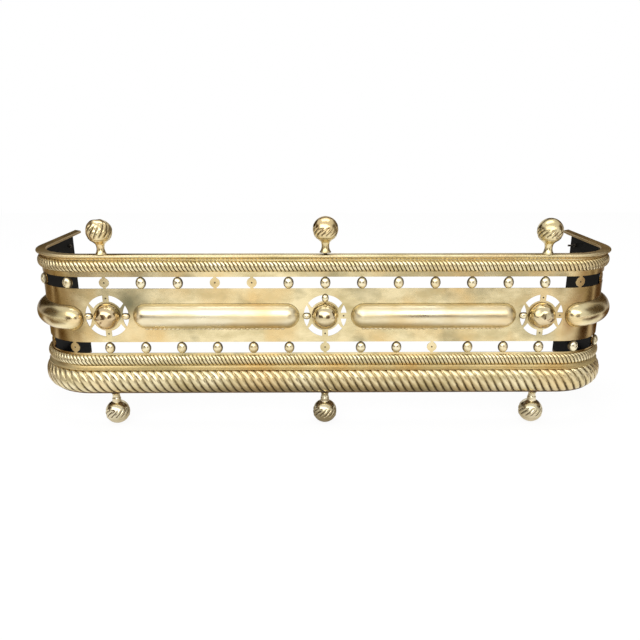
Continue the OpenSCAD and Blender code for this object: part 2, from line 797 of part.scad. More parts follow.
sole_plate();
sole_rivets();
pierced_panel();
base_rope();
base_cove();
lower_rope();
top_rope();
top_rail();
lining_left();
lining_right();
lining_studs();
lining_nuts();
boss_front_left();
boss_front_right();
boss_corner_left();
boss_corner_right();
boss_nuts();
dome_left();
dome_centre();
dome_right();
dome_nuts();
pearls_left();
pearls_centre();
pearls_right();
upper_beads_front();
upper_beads_left();
upper_beads_right();
lower_beads_front();
lower_beads_left();
lower_beads_right();
finial_left();
finial_centre();
finial_right();
finial_studs();
foot_left();
foot_centre();
foot_right();
foot_rear_left();
foot_rear_right();
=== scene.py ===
"""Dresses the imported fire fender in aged, polished brass and sets it on a pale studio floor."""
import math

import bmesh
import bpy
from mathutils import Matrix, Vector, noise


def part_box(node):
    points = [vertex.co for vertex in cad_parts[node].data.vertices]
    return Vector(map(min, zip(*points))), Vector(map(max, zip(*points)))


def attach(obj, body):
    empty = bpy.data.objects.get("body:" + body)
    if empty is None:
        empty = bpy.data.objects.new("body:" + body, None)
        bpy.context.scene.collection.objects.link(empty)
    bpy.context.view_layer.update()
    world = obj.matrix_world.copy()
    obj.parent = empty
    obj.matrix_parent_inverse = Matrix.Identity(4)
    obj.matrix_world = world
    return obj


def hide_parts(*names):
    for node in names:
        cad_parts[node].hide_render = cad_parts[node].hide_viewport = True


bl_info = {
    "name": "Brass Fire Fender",
    "version": (1, 0, 0),
    "blender": (4, 5, 0),
    "location": "View3D > Sidebar > Fender",
    "description": "Finer mouldings, pressings, beads and balls for a pierced brass fire fender, "
                   "with its finishes",
    "category": "Object",
}

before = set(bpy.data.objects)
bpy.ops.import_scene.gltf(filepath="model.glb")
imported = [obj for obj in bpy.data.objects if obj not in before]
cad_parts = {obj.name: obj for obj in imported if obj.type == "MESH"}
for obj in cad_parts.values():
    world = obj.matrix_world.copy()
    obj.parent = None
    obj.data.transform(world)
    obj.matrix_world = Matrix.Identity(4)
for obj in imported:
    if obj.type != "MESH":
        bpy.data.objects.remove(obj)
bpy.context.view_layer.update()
MM = 0.001


# ---- the fender's plan, from the CAD's boxes ----

PANEL_LOW, PANEL_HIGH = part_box("pierced_panel")
FACE_Y = PANEL_LOW[1]       # the panel's outer face along the front
HALF_WIDE = PANEL_HIGH[0]   # and at the returns
BACK_Y = PANEL_HIGH[1]      # rear end of the returns
PANEL_Z = PANEL_LOW[2]      # underside of the panel, where it stands on the sole angle
SEAT = 0.1 * MM             # gap between a piece and what it is seated on
MERGE = 2e-6                # points closer together than this, in metres, are one
TIP = 1e-5                  # radius of the ring of points that closes the end of a turned piece


def middle(node):
    """The middle of a CAD node's box."""
    low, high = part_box(node)
    return [(a + b) / 2 for a, b in zip(low, high)]


# ---- properties ----

def length(name, description, default):
    """A length that is shown in the scene's unit and kept in metres."""
    return bpy.props.FloatProperty(
        name=name, description=description, default=default, unit="LENGTH", precision=4)


def tint(name, description, code):
    """A colour, kept as the code that the finishes turn to linear."""
    return bpy.props.StringProperty(
        name=name, description=description + ", as sRGB hex", default=code)


class FenderPlan(bpy.types.PropertyGroup):
    """Where things stand round the panel"""
    corner_r: length("Corner radius", "Radius of the panel's outer face in the corners", 99.5 * MM)
    bay: length("Bay", "Distance from one medallion to the next", 396 * MM)
    ring_r: length("Ring radius", "Outer radius of the openings round a dome", 39.3 * MM)


class FenderMouldings(bpy.types.PropertyGroup):
    """The strands of the twisted mouldings"""
    strand: length(
        "Small strand", "Distance from strand to strand along the small ropes", 7.2 * MM)
    groove: length("Small groove", "Depth of the grooves of the small ropes", 2.2 * MM)
    base_strand: length(
        "Base strand", "Distance from strand to strand along the base rope", 14.5 * MM)
    base_groove: length("Base groove", "Depth of the grooves of the base rope", 4.2 * MM)
    lean: bpy.props.FloatProperty(
        name="Twist", description="Strands that one strand passes over from edge to edge",
        default=1.9)
    base_lean: bpy.props.FloatProperty(
        name="Base twist", description="The same for the base rope", default=2.3)


class FenderBalls(bpy.types.PropertyGroup):
    """The balls of the finials and feet"""
    ball_d: length("Ball", "Diameter of the fluted balls", 45 * MM)
    flutes: bpy.props.IntProperty(
        name="Flutes", description="Number of flutes round a ball", default=14)
    flute_depth: length("Flute depth", "Depth of the flutes", 2.4 * MM)
    twist: bpy.props.FloatProperty(
        name="Flute slant", description="Flutes that one flute passes from its foot to its head",
        default=1.7)


class FenderPressings(bpy.types.PropertyGroup):
    """Beads, domes and bosses"""
    bead_w: length("Bead width", "Width of an oval bead", 18.5 * MM)
    bead_h: length("Bead height", "Height of an oval bead", 22 * MM)
    bead_out: length("Bead depth", "How far a bead stands out", 7.5 * MM)
    dome_r: length("Dome radius", "Radius of the three domes", 24.5 * MM)
    wear: length(
        "Unevenness", "How far hand-pressed sheet strays from its true shape", 0.25 * MM)


class FenderColours(bpy.types.PropertyGroup):
    """The colours that more than one finish uses, and those of the iron and the floor"""
    brass: tint("Brass", "Clean polished brass", "#f1e0b2")
    olive: tint("Olive", "Brass that has dulled", "#cbba88")
    amber: tint("Amber", "Brass that has warmed with age", "#e9c388")
    # Darkening towards the corners and the rear of the returns: partly tarnished brass, partly
    # painted shade for the dim sides of the room that they reflect
    tarnish_and_shade: tint("Tarnish", "Brass seldom polished, towards the rear of the returns", "#987636")
    stain: tint("Stain", "Grey-green spots that polish no longer lifts", "#837e60")
    # Dark of the hollows: old polish, and painted shade in hollows, under mouldings, at the ends of
    # necks and round rims
    grime_and_shade: tint("Grime", "Old polish and tarnish in the hollows", "#46300c")
    iron: tint("Iron", "Blacked iron", "#050506")
    floor: tint("Floor", "Studio floor", "#ffffff")


GROUPS = {
    "fender_plan": FenderPlan, "fender_mouldings": FenderMouldings, "fender_balls": FenderBalls,
    "fender_pressings": FenderPressings, "fender_colours": FenderColours,
}


# ---- the path round the panel ----

def plan(s, out):
    """X and Y of a point that stands out from the panel's face by out, at path length s from the
    middle of the front."""
    r = bpy.context.scene.fender_plan.corner_r
    straight = HALF_WIDE - r
    arc = r * math.pi / 2
    t = min(math.pi / 2, max(0.0, (abs(s) - straight) / r))
    ahead = min(abs(s), straight)
    past = max(0.0, abs(s) - straight - arc)
    side = math.copysign(1, s)
    return side * (ahead + (r + out) * math.sin(t)), FACE_Y + r - (r + out) * math.cos(t) + past


def path_end():
    """Path length from the middle of the front to the rear edge of a return."""
    r = bpy.context.scene.fender_plan.corner_r
    return HALF_WIDE - r + r * math.pi / 2 + BACK_Y - FACE_Y - r


# ---- meshes ----

def make_piece(name, verts, faces, material, replaced, marks=None):
    """A mesh object that stands for the replaced CAD nodes. marks are one number a vertex, from 0
    where it is rubbed clean and lit to 1 where old polish and painted shade are deepest, and are
    kept as an attribute."""
    mesh = bpy.data.meshes.new(name)
    mesh.from_pydata([tuple(v) for v in verts], [], faces)
    mesh.update()
    if marks:
        # The marks of old polish and painted shade, kept under the name hollow
        layer = mesh.attributes.new("hollow", "FLOAT", "POINT")
        layer.data.foreach_set("value", marks)
    bm = bmesh.new()
    bm.from_mesh(mesh)
    bmesh.ops.remove_doubles(bm, verts=bm.verts, dist=MERGE)
    bmesh.ops.recalc_face_normals(bm, faces=bm.faces)
    bm.to_mesh(mesh)
    bm.free()
    mesh.polygons.foreach_set("use_smooth", [True] * len(mesh.polygons))
    mesh.materials.append(material)
    piece = bpy.data.objects.new(name, mesh)
    bpy.context.scene.collection.objects.link(piece)
    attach(piece, "root")
    if replaced:
        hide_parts(*replaced)


def grid_faces(rows, cols, around=False, first=0):
    """Faces of a grid of points kept row by row, closed round each row where around is true."""
    faces = []
    for i in range(rows - 1):
        for j in range(cols if around else cols - 1):
            k = (j + 1) % cols
            faces.append((first + i * cols + j, first + i * cols + k,
                          first + (i + 1) * cols + k, first + (i + 1) * cols + j))
    return faces


def dent(v, seed, scale, depth):
    """A smooth random push, the same each run."""
    return depth * noise.noise(Vector(v) / scale + Vector((seed, seed * 1.7, -seed)))


# ---- materials ----

def linear(code):
    """An sRGB hex colour as linear RGBA."""
    parts = [int(code[i:i + 2], 16) / 255 for i in (1, 3, 5)]
    return (*[c / 12.92 if c <= 0.04045 else ((c + 0.055) / 1.055) ** 2.4 for c in parts], 1.0)


def add(tree, kind, **given):
    """Adds a shader node. Small-letter names in given are its settings, capital ones its inputs,
    and i0, i1 and so on its inputs by number. An input takes a value, an output or a node, which
    stands for its first output in use."""
    node = tree.nodes.new("ShaderNode" + kind)
    for key, value in given.items():
        numbered = key[1:].isdigit()
        if not numbered and key[0].islower():
            setattr(node, key, value)
            continue
        socket = node.inputs[int(key[1:]) if numbered else key.replace("_", " ")]
        if isinstance(value, bpy.types.Node):
            value = next(output for output in value.outputs if output.enabled)
        if isinstance(value, bpy.types.NodeSocket):
            tree.links.new(value, socket)
        else:
            socket.default_value = value
    return node


def blank(name):
    """A new material with an empty node tree."""
    material = bpy.data.materials.new(name)
    material.use_nodes = True
    material.node_tree.nodes.clear()
    return material


STAIN_MM = 60           # size of the grey-green stains
SPECK_MM = 4            # size of the specks of dried polish
GRAIN_MM = 1.2          # the grain that a cloth leaves, drawn ten times as coarse so that it shows
CORNER_MM = 120         # the darkening of the returns, partly painted shade, starts earlier within this distance of them, later beyond


def brass(name, clean, dull, warm, streak_mm, rough, grime_and_shade=0.0, wave_mm=30, wave=0.15, grain=0.05,
          behind_mm=(60, 190), tarnish_and_shade=0.6, patch_mm=90, stain=None):
    """Brass that was polished for a century: warm, dull and stained patches, a soft waviness,
    old polish in the hollows, and darkening towards the corners and the rear of the returns,
    where a hand seldom reaches. Both darkenings also hold painted shade: in hollows, under
    mouldings and round rims, and on the returns for the dim sides of the room that they reflect.
    streak_mm is the size of the dull patches along X, Y and Z, patch_mm that of the warm ones and
    wave_mm that of the waves. behind_mm says how far behind the panel's face the darkening of the
    returns starts and is full. stain is the strength of the stains, and x, z and radius of a
    smudge in metres."""
    c = bpy.context.scene.fender_colours
    tree = blank(name).node_tree
    where = add(tree, "TexCoord").outputs["Object"]

    # Dull streaks and warm patches
    streaks = add(tree, "Mapping", i0=where, Scale=[1 / (v * MM) for v in streak_mm])
    streaks = add(tree, "TexNoise", Vector=streaks, Scale=1.0, Detail=4.0, Roughness=0.6)
    dulled = add(tree, "MapRange", Value=streaks, From_Min=0.42, From_Max=0.7)
    warmed = add(tree, "TexNoise", Vector=where, Scale=1 / (patch_mm * MM), Detail=3.0)
    warmed = add(tree, "MapRange", Value=warmed, From_Min=0.46, From_Max=0.72)
    colour = add(tree, "Mix", data_type="RGBA", i0=dulled, i6=linear(clean), i7=linear(dull))
    colour = add(tree, "Mix", data_type="RGBA", i0=warmed, i6=colour, i7=linear(warm))

    # Grey-green stains and a smudge
    if stain:
        strength, x, z, radius = stain
        spots = add(tree, "VectorMath", operation="ADD", i0=where, i1=(0.37, 0.0, 0.11))
        spots = add(tree, "TexNoise", Vector=spots, Scale=1 / (STAIN_MM * MM), Detail=3.0)
        spots = add(tree, "MapRange", Value=spots, From_Min=0.54, From_Max=0.72, To_Max=strength)
        smudge = add(tree, "VectorMath", operation="DISTANCE", i0=where, i1=(x, FACE_Y, z))
        smudge = add(tree, "Math", operation="MULTIPLY_ADD", i0=warmed, i1=radius * 0.5, i2=smudge)
        smudge = add(tree, "MapRange", interpolation_type="SMOOTHSTEP", Value=smudge,
                     From_Min=0.0, From_Max=radius, To_Min=1.0, To_Max=0.0)
        spots = add(tree, "Math", operation="MAXIMUM", i0=spots, i1=smudge)
        colour = add(tree, "Mix", data_type="RGBA", i0=spots, i6=colour, i7=linear(c.stain))

    # Darker towards the corners and the rear of the returns: partly tarnished brass, partly painted
    # shade for the dim sides of the room that they reflect
    place = add(tree, "SeparateXYZ", i0=where)
    aside = add(tree, "Math", operation="ABSOLUTE", i0=place.outputs[0])
    aside = add(tree, "Math", operation="SUBTRACT", i0=aside, i1=HALF_WIDE - CORNER_MM * MM)
    depth = add(tree, "Math", operation="MULTIPLY_ADD", i0=aside, i1=0.4, i2=place.outputs[1])
    depth = add(tree, "MapRange", interpolation_type="SMOOTHSTEP", Value=depth,
                From_Min=FACE_Y + behind_mm[0] * MM, From_Max=FACE_Y + behind_mm[1] * MM,
                To_Max=tarnish_and_shade)
    colour = add(tree, "Mix", data_type="RGBA", i0=depth, i6=colour, i7=linear(c.tarnish_and_shade))

    # Darkened where the mesh is marked as hollow, with old polish and painted shade, and a speckled
    # edge
    hollow = add(tree, "Attribute", attribute_name="hollow").outputs["Fac"]
    specks = add(tree, "TexNoise", Vector=where, Scale=1 / (SPECK_MM * MM), Detail=2.0)
    grime_and_shade_level = add(tree, "Math", operation="MULTIPLY_ADD", i0=specks, i1=0.5, i2=-0.25)
    grime_and_shade_level = add(tree, "Math", operation="ADD", i0=hollow, i1=grime_and_shade_level)
    grime_and_shade_level = add(tree, "MapRange", interpolation_type="SMOOTHSTEP", Value=grime_and_shade_level, From_Min=0.25,
               From_Max=0.95, To_Max=grime_and_shade)
    colour = add(tree, "Mix", data_type="RGBA", i0=grime_and_shade_level, i6=colour, i7=linear(c.grime_and_shade))

    # Streaks differ in gloss, and the old polish and painted shade are matt
    matt = add(tree, "MapRange", Value=streaks, From_Min=0.3, From_Max=0.7, To_Min=rough * 0.7,
               To_Max=rough * 1.4)
    matt = add(tree, "Math", operation="MULTIPLY_ADD", i0=grime_and_shade_level, i1=0.4, i2=matt)

    # Waves of the worked sheet or casting, and the cloth's grain
    waves = add(tree, "TexNoise", Vector=where, Scale=1 / (wave_mm * MM), Detail=2.0)
    fine = add(tree, "TexNoise", Vector=where, Scale=1 / (GRAIN_MM * MM), Detail=3.0)
    bump = add(tree, "Bump", Strength=wave, Distance=wave_mm * MM * 0.02, Height=waves)
    bump = add(tree, "Bump", Strength=grain, Distance=GRAIN_MM * MM * 0.1, Height=fine, Normal=bump)
    shader = add(tree, "BsdfPrincipled", Base_Color=colour, Metallic=1.0, Roughness=matt,
                 Normal=bump)
    add(tree, "OutputMaterial", Surface=shader)


def make_brasses():
    """Every brass finish."""
    c = bpy.context.scene.fender_colours
    # Rolled sheet, rubbed along its length: long streaks that show in its reflections.
    brass("sheet brass, rolled and polished", c.brass, c.olive, "#e8c98e", (70, 70, 34),
          rough=0.24, wave_mm=45, wave=0.5, behind_mm=(-8, 44), tarnish_and_shade=0.9, patch_mm=70,
          stain=(0.6, -0.352, 0.236, 0.05))
    # Soldered strip twisted and drawn: bright ridges between grooves full of old polish and painted
    # shade.
    brass("brass moulding, twisted", "#f3e5bb", c.olive, "#e8d09c", (40, 40, 20),
          rough=0.26, grime_and_shade=0.97, behind_mm=(10, 110), tarnish_and_shade=0.7)
    # The large strip, twisted hot and finished by hand, less sharp.
    brass("brass moulding, twisted and rubbed", "#f3e5bb", c.olive, "#e8d09c", (60, 60, 30),
          rough=0.3, grime_and_shade=0.9, wave_mm=16, wave=0.3, behind_mm=(10, 110), tarnish_and_shade=0.7)
    # Sheet pressed over a former: smooth, with the faint waves of the press.
    brass("sheet brass, pressed", "#e4d3ac", "#c8b88c", "#d8bc90", (30, 30, 12),
          rough=0.18, grime_and_shade=0.9, wave_mm=14, wave=0.4)
    # The same sheet drawn out long and rubbed from end to end, which softens what it reflects.
    brass("sheet brass, drawn and rubbed", "#f5e9c8", "#dccb9c", "#ecd09a", (90, 90, 30),
          rough=0.33, grime_and_shade=0.75, wave=0.35, behind_mm=(0, 90), tarnish_and_shade=0.7)
    # The corners' bosses stand in the way of passers-by: dented, and polished less evenly.
    brass("sheet brass, drawn and dented", "#f4e4b6", "#d8c896", c.amber, (60, 60, 14),
          rough=0.23, grime_and_shade=0.8, wave_mm=20, wave=0.5, behind_mm=(0, 80), tarnish_and_shade=0.75)
    # Bar that no cloth reaches, dull and warm.
    brass("brass bar, drawn and left dull", "#d8c28e", c.olive, "#cba868", (160, 160, 20),
          rough=0.48, wave_mm=40, wave=0.3)
    # Cast and turned, then polished by hand.
    brass("cast brass, turned", c.brass, c.olive, c.amber, (30, 30, 30), rough=0.22, grime_and_shade=0.95)
    # The same, paler and greyer near the floor, where hearth dust scours it.
    brass("cast brass, scoured", "#efe4c6", "#cdc29c", "#dccba2", (30, 30, 30),
          rough=0.2, grime_and_shade=0.97)
    # Small stamped heads, the brightest parts because they are rubbed most.
    brass("brass beads, stamped", "#f6ecca", c.brass, "#ecd6a6", (20, 20, 20),
          rough=0.26, grime_and_shade=0.92)
    # Drawn bar, worn smooth along the top.
    brass("brass bar, drawn", "#eadbb0", c.olive, "#e6cfa0", (160, 160, 20),
          rough=0.38, wave_mm=40, wave=0.3, grain=0.0, behind_mm=(20, 100), tarnish_and_shade=0.75)


def make_ironwork():
    """The finishes of the iron and steel."""
    # Plate blacked with a matt paint, faintly uneven over a few millimetres.
    tree = blank("wrought iron, blacked").node_tree
    where = add(tree, "TexCoord").outputs["Object"]
    scale = add(tree, "TexNoise", Vector=where, Scale=1 / (3 * MM), Detail=5.0)
    black = linear(bpy.context.scene.fender_colours.iron)
    colour = add(tree, "Mix", data_type="RGBA", i0=scale, i6=black, i7=linear("#090909"))
    bump = add(tree, "Bump", Strength=0.4, Distance=0.3 * MM, Height=scale)
    shader = add(tree, "BsdfPrincipled", Base_Color=colour, Metallic=0.0, Roughness=0.6,
                 Specular_IOR_Level=0.1, Normal=bump)
    add(tree, "OutputMaterial", Surface=shader)

    # Angle iron, blacked on its upright leg and rusted in blotches underneath, where no brush
    # reaches.
    tree = blank("angle iron, blacked and rusted").node_tree
    where = add(tree, "TexCoord").outputs["Object"]
    rust = add(tree, "TexNoise", Vector=where, Scale=1 / (12 * MM), Detail=6.0, Roughness=0.7)
    rust = add(tree, "MapRange", Value=rust, From_Min=0.38, From_Max=0.62)
    colour = add(tree, "Mix", data_type="RGBA", i0=rust, i6=linear("#4a4036"),
                 i7=linear("#7c6247"))
    upright = add(tree, "SeparateXYZ", i0=where).outputs[2]
    upright = add(tree, "MapRange", Value=upright, From_Min=PANEL_Z, From_Max=PANEL_Z + 3 * MM)
    colour = add(tree, "Mix", data_type="RGBA", i0=upright, i6=colour, i7=linear("#060505"))
    bump = add(tree, "Bump", Strength=0.4, Distance=0.3 * MM, Height=rust)
    shader = add(tree, "BsdfPrincipled", Base_Color=colour, Metallic=0.0, Roughness=0.75,
                 Specular_IOR_Level=0.1, Normal=bump)
    add(tree, "OutputMaterial", Surface=shader)

    # Turned studs and nuts, dulled by heat in patches.
    tree = blank("steel, turned and dulled").node_tree
    where = add(tree, "TexCoord").outputs["Object"]
    dulled = add(tree, "TexNoise", Vector=where, Scale=1 / (2 * MM), Detail=3.0)
    colour = add(tree, "Mix", data_type="RGBA", i0=dulled, i6=linear("#6a645c"),
                 i7=linear("#3d3831"))
    shader = add(tree, "BsdfPrincipled", Base_Color=colour, Metallic=1.0, Roughness=0.4)
    add(tree, "OutputMaterial", Surface=shader)


def finish(name):
    """A finish by its name. The first call makes them all."""
    if name not in bpy.data.materials:
        make_brasses()
        make_ironwork()
    return bpy.data.materials[name]


# ---- operators ----

class FENDER_OT_stage(bpy.types.Operator):
    """Pale floor and backdrop, soft lamps, dark cards for the brass to reflect, and the camera"""
    bl_idname = "fender.stage"
    bl_label = "Stage"

    FACED = Vector((0, 0, 0.2))     # the point that the cards and lamps face, in metres
    FLOOR = (6, 6)                  # size of the floor in metres

    # Standing cards: azimuth from the front and elevation in degrees, distance, width and height
    # in metres, shade, and how ragged its edge is
    CARDS = (
        ("card_ahead_left", -36, 5, 1.5, 1.15, 0.95, "#4c3a24", 1.0),
        ("card_ahead_right", 20, 5, 1.5, 0.9, 0.85, "#5c4930", 1.0),
        ("card_left", -88, 16, 3.0, 2.4, 2.4, "#4a3a20", 0.3),
        ("card_right", 88, 16, 3.0, 2.4, 2.4, "#4a3a20", 0.3),
        ("card_back_left", -138, 18, 3.0, 3.0, 2.6, "#33270f", 0.3),
        ("card_back_right", 138, 18, 3.0, 3.0, 2.6, "#52412a", 0.3),
        ("card_back", 180, 44, 3.0, 3.4, 1.4, "#4a3a20", 0.0),
        ("card_back_low", 180, -4, 3.0, 4.6, 0.8, "#33270f", 0.0),
    )

    # Cards on the floor beside the fender: middle in x and y and depth in metres, and shade. They
    # are all as wide and as ragged as each other.
    FLOOR_WIDE, FLOOR_RAGGED = 1.5, 0.6
    FLOOR_CARDS = (
        ("card_floor_left", -1.38, -0.62, 0.34, "#8a7040"),
        ("card_floor_left_two", -1.38, -0.2, 0.4, "#6b5430"),
        ("card_floor_left_three", -1.38, 0.4, 0.8, "#806a40"),
        ("card_floor_right", 1.38, -0.75, 0.4, "#8a5c2c"),
        ("card_floor_right_two", 1.38, -0.25, 0.4, "#4c2f10"),
        ("card_floor_right_three", 1.38, 0.4, 0.8, "#5f4018"),
    )

    # Lamps: place, width and height in metres, and watts
    LAMPS = (
        ("key", (-0.75, -2.6, 1.75), 4.2, 2.3, 62),
        ("fill", (1.5, -2.6, 1.8), 1.0, 0.7, 4),
        ("top", (0, 0.2, 3.0), 2.4, 1.2, 20),
    )

    def execute(self, context):
        self.backdrop(context.scene)
        self.slab("floor", Matrix.Translation((0, 0, -0.5 * MM)), self.FLOOR, self.floor_paint())
        for name, azimuth, elevation, away, wide, high, shade, ragged in self.CARDS:
            a, e = math.radians(azimuth), math.radians(elevation)
            at = Vector((math.sin(a) * math.cos(e), -math.cos(a) * math.cos(e), math.sin(e)))
            turn = at.to_track_quat("Z", "Y").to_matrix().to_4x4()
            place = Matrix.Translation(at * away + self.FACED) @ turn
            self.card(name, place, (wide, high), shade, ragged)
        for name, x, y, deep, shade in self.FLOOR_CARDS:
            place = Matrix.Translation((x, y, 4 * MM))
            self.card(name, place, (self.FLOOR_WIDE, deep), shade, self.FLOOR_RAGGED)
        for name, at, wide, high, watts in self.LAMPS:
            lamp = bpy.data.lights.new(name, "AREA")
            lamp.shape = "RECTANGLE"
            lamp.size, lamp.size_y, lamp.energy = wide, high, watts
            o = bpy.data.objects.new(name, lamp)
            o.location = at
            o.rotation_euler = (self.FACED - Vector(at)).to_track_quat("-Z", "Y").to_euler()
            context.scene.collection.objects.link(o)
        self.camera(context.scene)
        context.scene.view_settings.view_transform = "Standard"
        return {"FINISHED"}

    @staticmethod
    def backdrop(scene):
        """White behind the fender, and a little less for the light that falls on it."""
        world = bpy.data.worlds.new("studio")
        scene.world = world
        world.use_nodes = True
        tree = world.node_tree
        tree.nodes.clear()
        rays = add(tree, "LightPath")
        level = add(tree, "MapRange", Value=rays.outputs["Is Camera Ray"], To_Min=0.8, To_Max=1.0)
        sky = add(tree, "Background", Color=linear("#ffffff"), Strength=level)
        add(tree, "OutputWorld", Surface=sky)

    @staticmethod
    def floor_paint():
        """Painted board, white to the camera and a little greyer where the fender keeps the light
        off it. The brass mirrors it as if the fender shaded it more: warm and dim within 0.14 m,
        bright beyond 0.4 m, 1.7 times as far at the sides, and dim again behind."""
        paint = blank("studio floor, painted")
        tree = paint.node_tree
        rays = add(tree, "LightPath")
        by_camera, by_gloss = rays.outputs["Is Camera Ray"], rays.outputs["Is Glossy Ray"]
        where = add(tree, "TexCoord").outputs["Object"]
        away = add(tree, "VectorMath", operation="MULTIPLY", i0=where, i1=(0.6, 1, 0))
        away = add(tree, "VectorMath", operation="LENGTH", i0=away)
        light = add(tree, "MapRange", interpolation_type="SMOOTHSTEP", Value=away, From_Min=0.14,
                    From_Max=0.4, To_Min=0.24, To_Max=1.1)
        behind = add(tree, "SeparateXYZ", i0=where).outputs[1]
        behind = add(tree, "MapRange", interpolation_type="SMOOTHSTEP", Value=behind, From_Min=0.2,
                     From_Max=0.8, To_Min=1.0, To_Max=0.4)
        light = add(tree, "Math", operation="MULTIPLY", i0=light, i1=behind)
        light = add(tree, "Mix", data_type="FLOAT", i0=by_camera, i2=light, i3=1.0)
        warm = add(tree, "MapRange", Value=light, From_Min=0.24, From_Max=0.95)
        warm = add(tree, "Mix", data_type="RGBA", i0=warm, i6=linear("#ffecc9"),
                   i7=linear("#ffffff"))
        glow = add(tree, "Emission", Color=warm, Strength=light)
        matt = add(tree, "BsdfDiffuse", Color=linear(bpy.context.scene.fender_colours.floor))
        share = add(tree, "Math", operation="MAXIMUM", i0=by_camera, i1=by_gloss)
        share = add(tree, "Math", operation="MULTIPLY", i0=share, i1=0.9)
        both = add(tree, "MixShader", i0=share, i1=matt, i2=glow)
        add(tree, "OutputMaterial", Surface=both)
        return paint

    @classmethod
    def card(cls, name, place, size, shade, ragged):
        """A dark card that only reflections show."""
        o = cls.slab(name, place, size, cls.cloth(name, shade, ragged))
        o.visible_camera = o.visible_diffuse = o.visible_shadow = o.visible_transmission = False

    @staticmethod
    def cloth(name, shade, ragged):
        """Cloth over a card, which fades out towards its edges, unevenly where it is ragged."""
        paint = blank(name + ", dark cloth")
        tree = paint.node_tree
        across = add(tree, "TexCoord").outputs["Generated"]
        left = add(tree, "VectorMath", operation="SUBTRACT", i0=(1, 1, 1), i1=across)
        inner = add(tree, "VectorMath", operation="MULTIPLY", i0=across, i1=left)
        parts = add(tree, "SeparateXYZ", i0=inner)
        folds = 9.0         # across a card
        fold = add(tree, "TexNoise", Vector=across, Scale=folds, Detail=3.0)
        fold = add(tree, "Math", operation="MULTIPLY_ADD", i0=fold, i1=ragged * 0.3,
                   i2=-ragged * 0.15)
        ends = add(tree, "Math", operation="ADD", i0=parts.outputs[1], i1=fold)
        ends = add(tree, "MapRange", interpolation_type="SMOOTHSTEP", Value=ends, From_Min=0.04,
                   From_Max=0.16)
        sides = add(tree, "MapRange", interpolation_type="SMOOTHSTEP", Value=parts.outputs[0],
                    From_Min=0.0, From_Max=0.14)
        solid = add(tree, "Math", operation="MULTIPLY", i0=sides, i1=ends)
        clear = add(tree, "BsdfTransparent")
        matt = add(tree, "BsdfDiffuse", Color=linear(shade))
        both = add(tree, "MixShader", i0=solid, i1=clear, i2=matt)
        add(tree, "OutputMaterial", Surface=both)
        return paint

    @staticmethod
    def slab(name, place, size, material):
        """A flat rectangle that isn't part of the fender."""
        x, y = size[0] / 2, size[1] / 2
        mesh = bpy.data.meshes.new(name)
        mesh.from_pydata([(-x, -y, 0), (x, -y, 0), (x, y, 0), (-x, y, 0)], [], [(0, 1, 2, 3)])
        mesh.materials.append(material)
        o = bpy.data.objects.new(name, mesh)
        o.matrix_world = place
        bpy.context.scene.collection.objects.link(o)
        return o

    @staticmethod
    def camera(scene):
        """The camera at the picture's viewing angle, 17 degrees below level."""
        picture, focal, sensor = 640, 628, 36           # pixels, pixels and millimetres
        aside, before, above = -0.0222, 1.097, 0.4761   # metres from the middle of the panel's foot
        yaw, pitch, roll = -0.0116, math.radians(73), 0.0011
        lens = bpy.data.cameras.new("camera")
        lens.sensor_width = sensor
        lens.lens = focal * sensor / picture
        o = bpy.data.objects.new("camera", lens)
        o.matrix_world = (Matrix.Translation((aside, FACE_Y - before, PANEL_Z + above))
                          @ Matrix.Rotation(yaw, 4, "Z") @ Matrix.Rotation(pitch, 4, "X")
                          @ Matrix.Rotation(roll, 4, "Z"))
        scene.collection.objects.link(o)
        scene.camera = o


class FENDER_OT_finishes(bpy.types.Operator):
    """Finishes for the CAD pieces that keep their own shape"""
    bl_idname = "fender.finishes"
    bl_label = "Panel, rail and ironwork"

    KEPT = {
        "sheet brass, rolled and polished": ("pierced_panel",),
        "brass bar, drawn and left dull": ("base_cove",),
        "brass bar, drawn": ("top_rail",),
        "angle iron, blacked and rusted": ("sole_plate",),
        "wrought iron, blacked": ("lining_left", "lining_right"),
        "steel, turned and dulled": ("sole_rivets", "lining_studs", "lining_nuts", "boss_nuts",
                                     "dome_nuts", "finial_studs"),
    }

    def execute(self, context):
        for name, nodes in self.KEPT.items():
            for node in nodes:
                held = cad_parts[node].data.materials
                held.clear()
                held.append(finish(name))
        return {"FINISHED"}


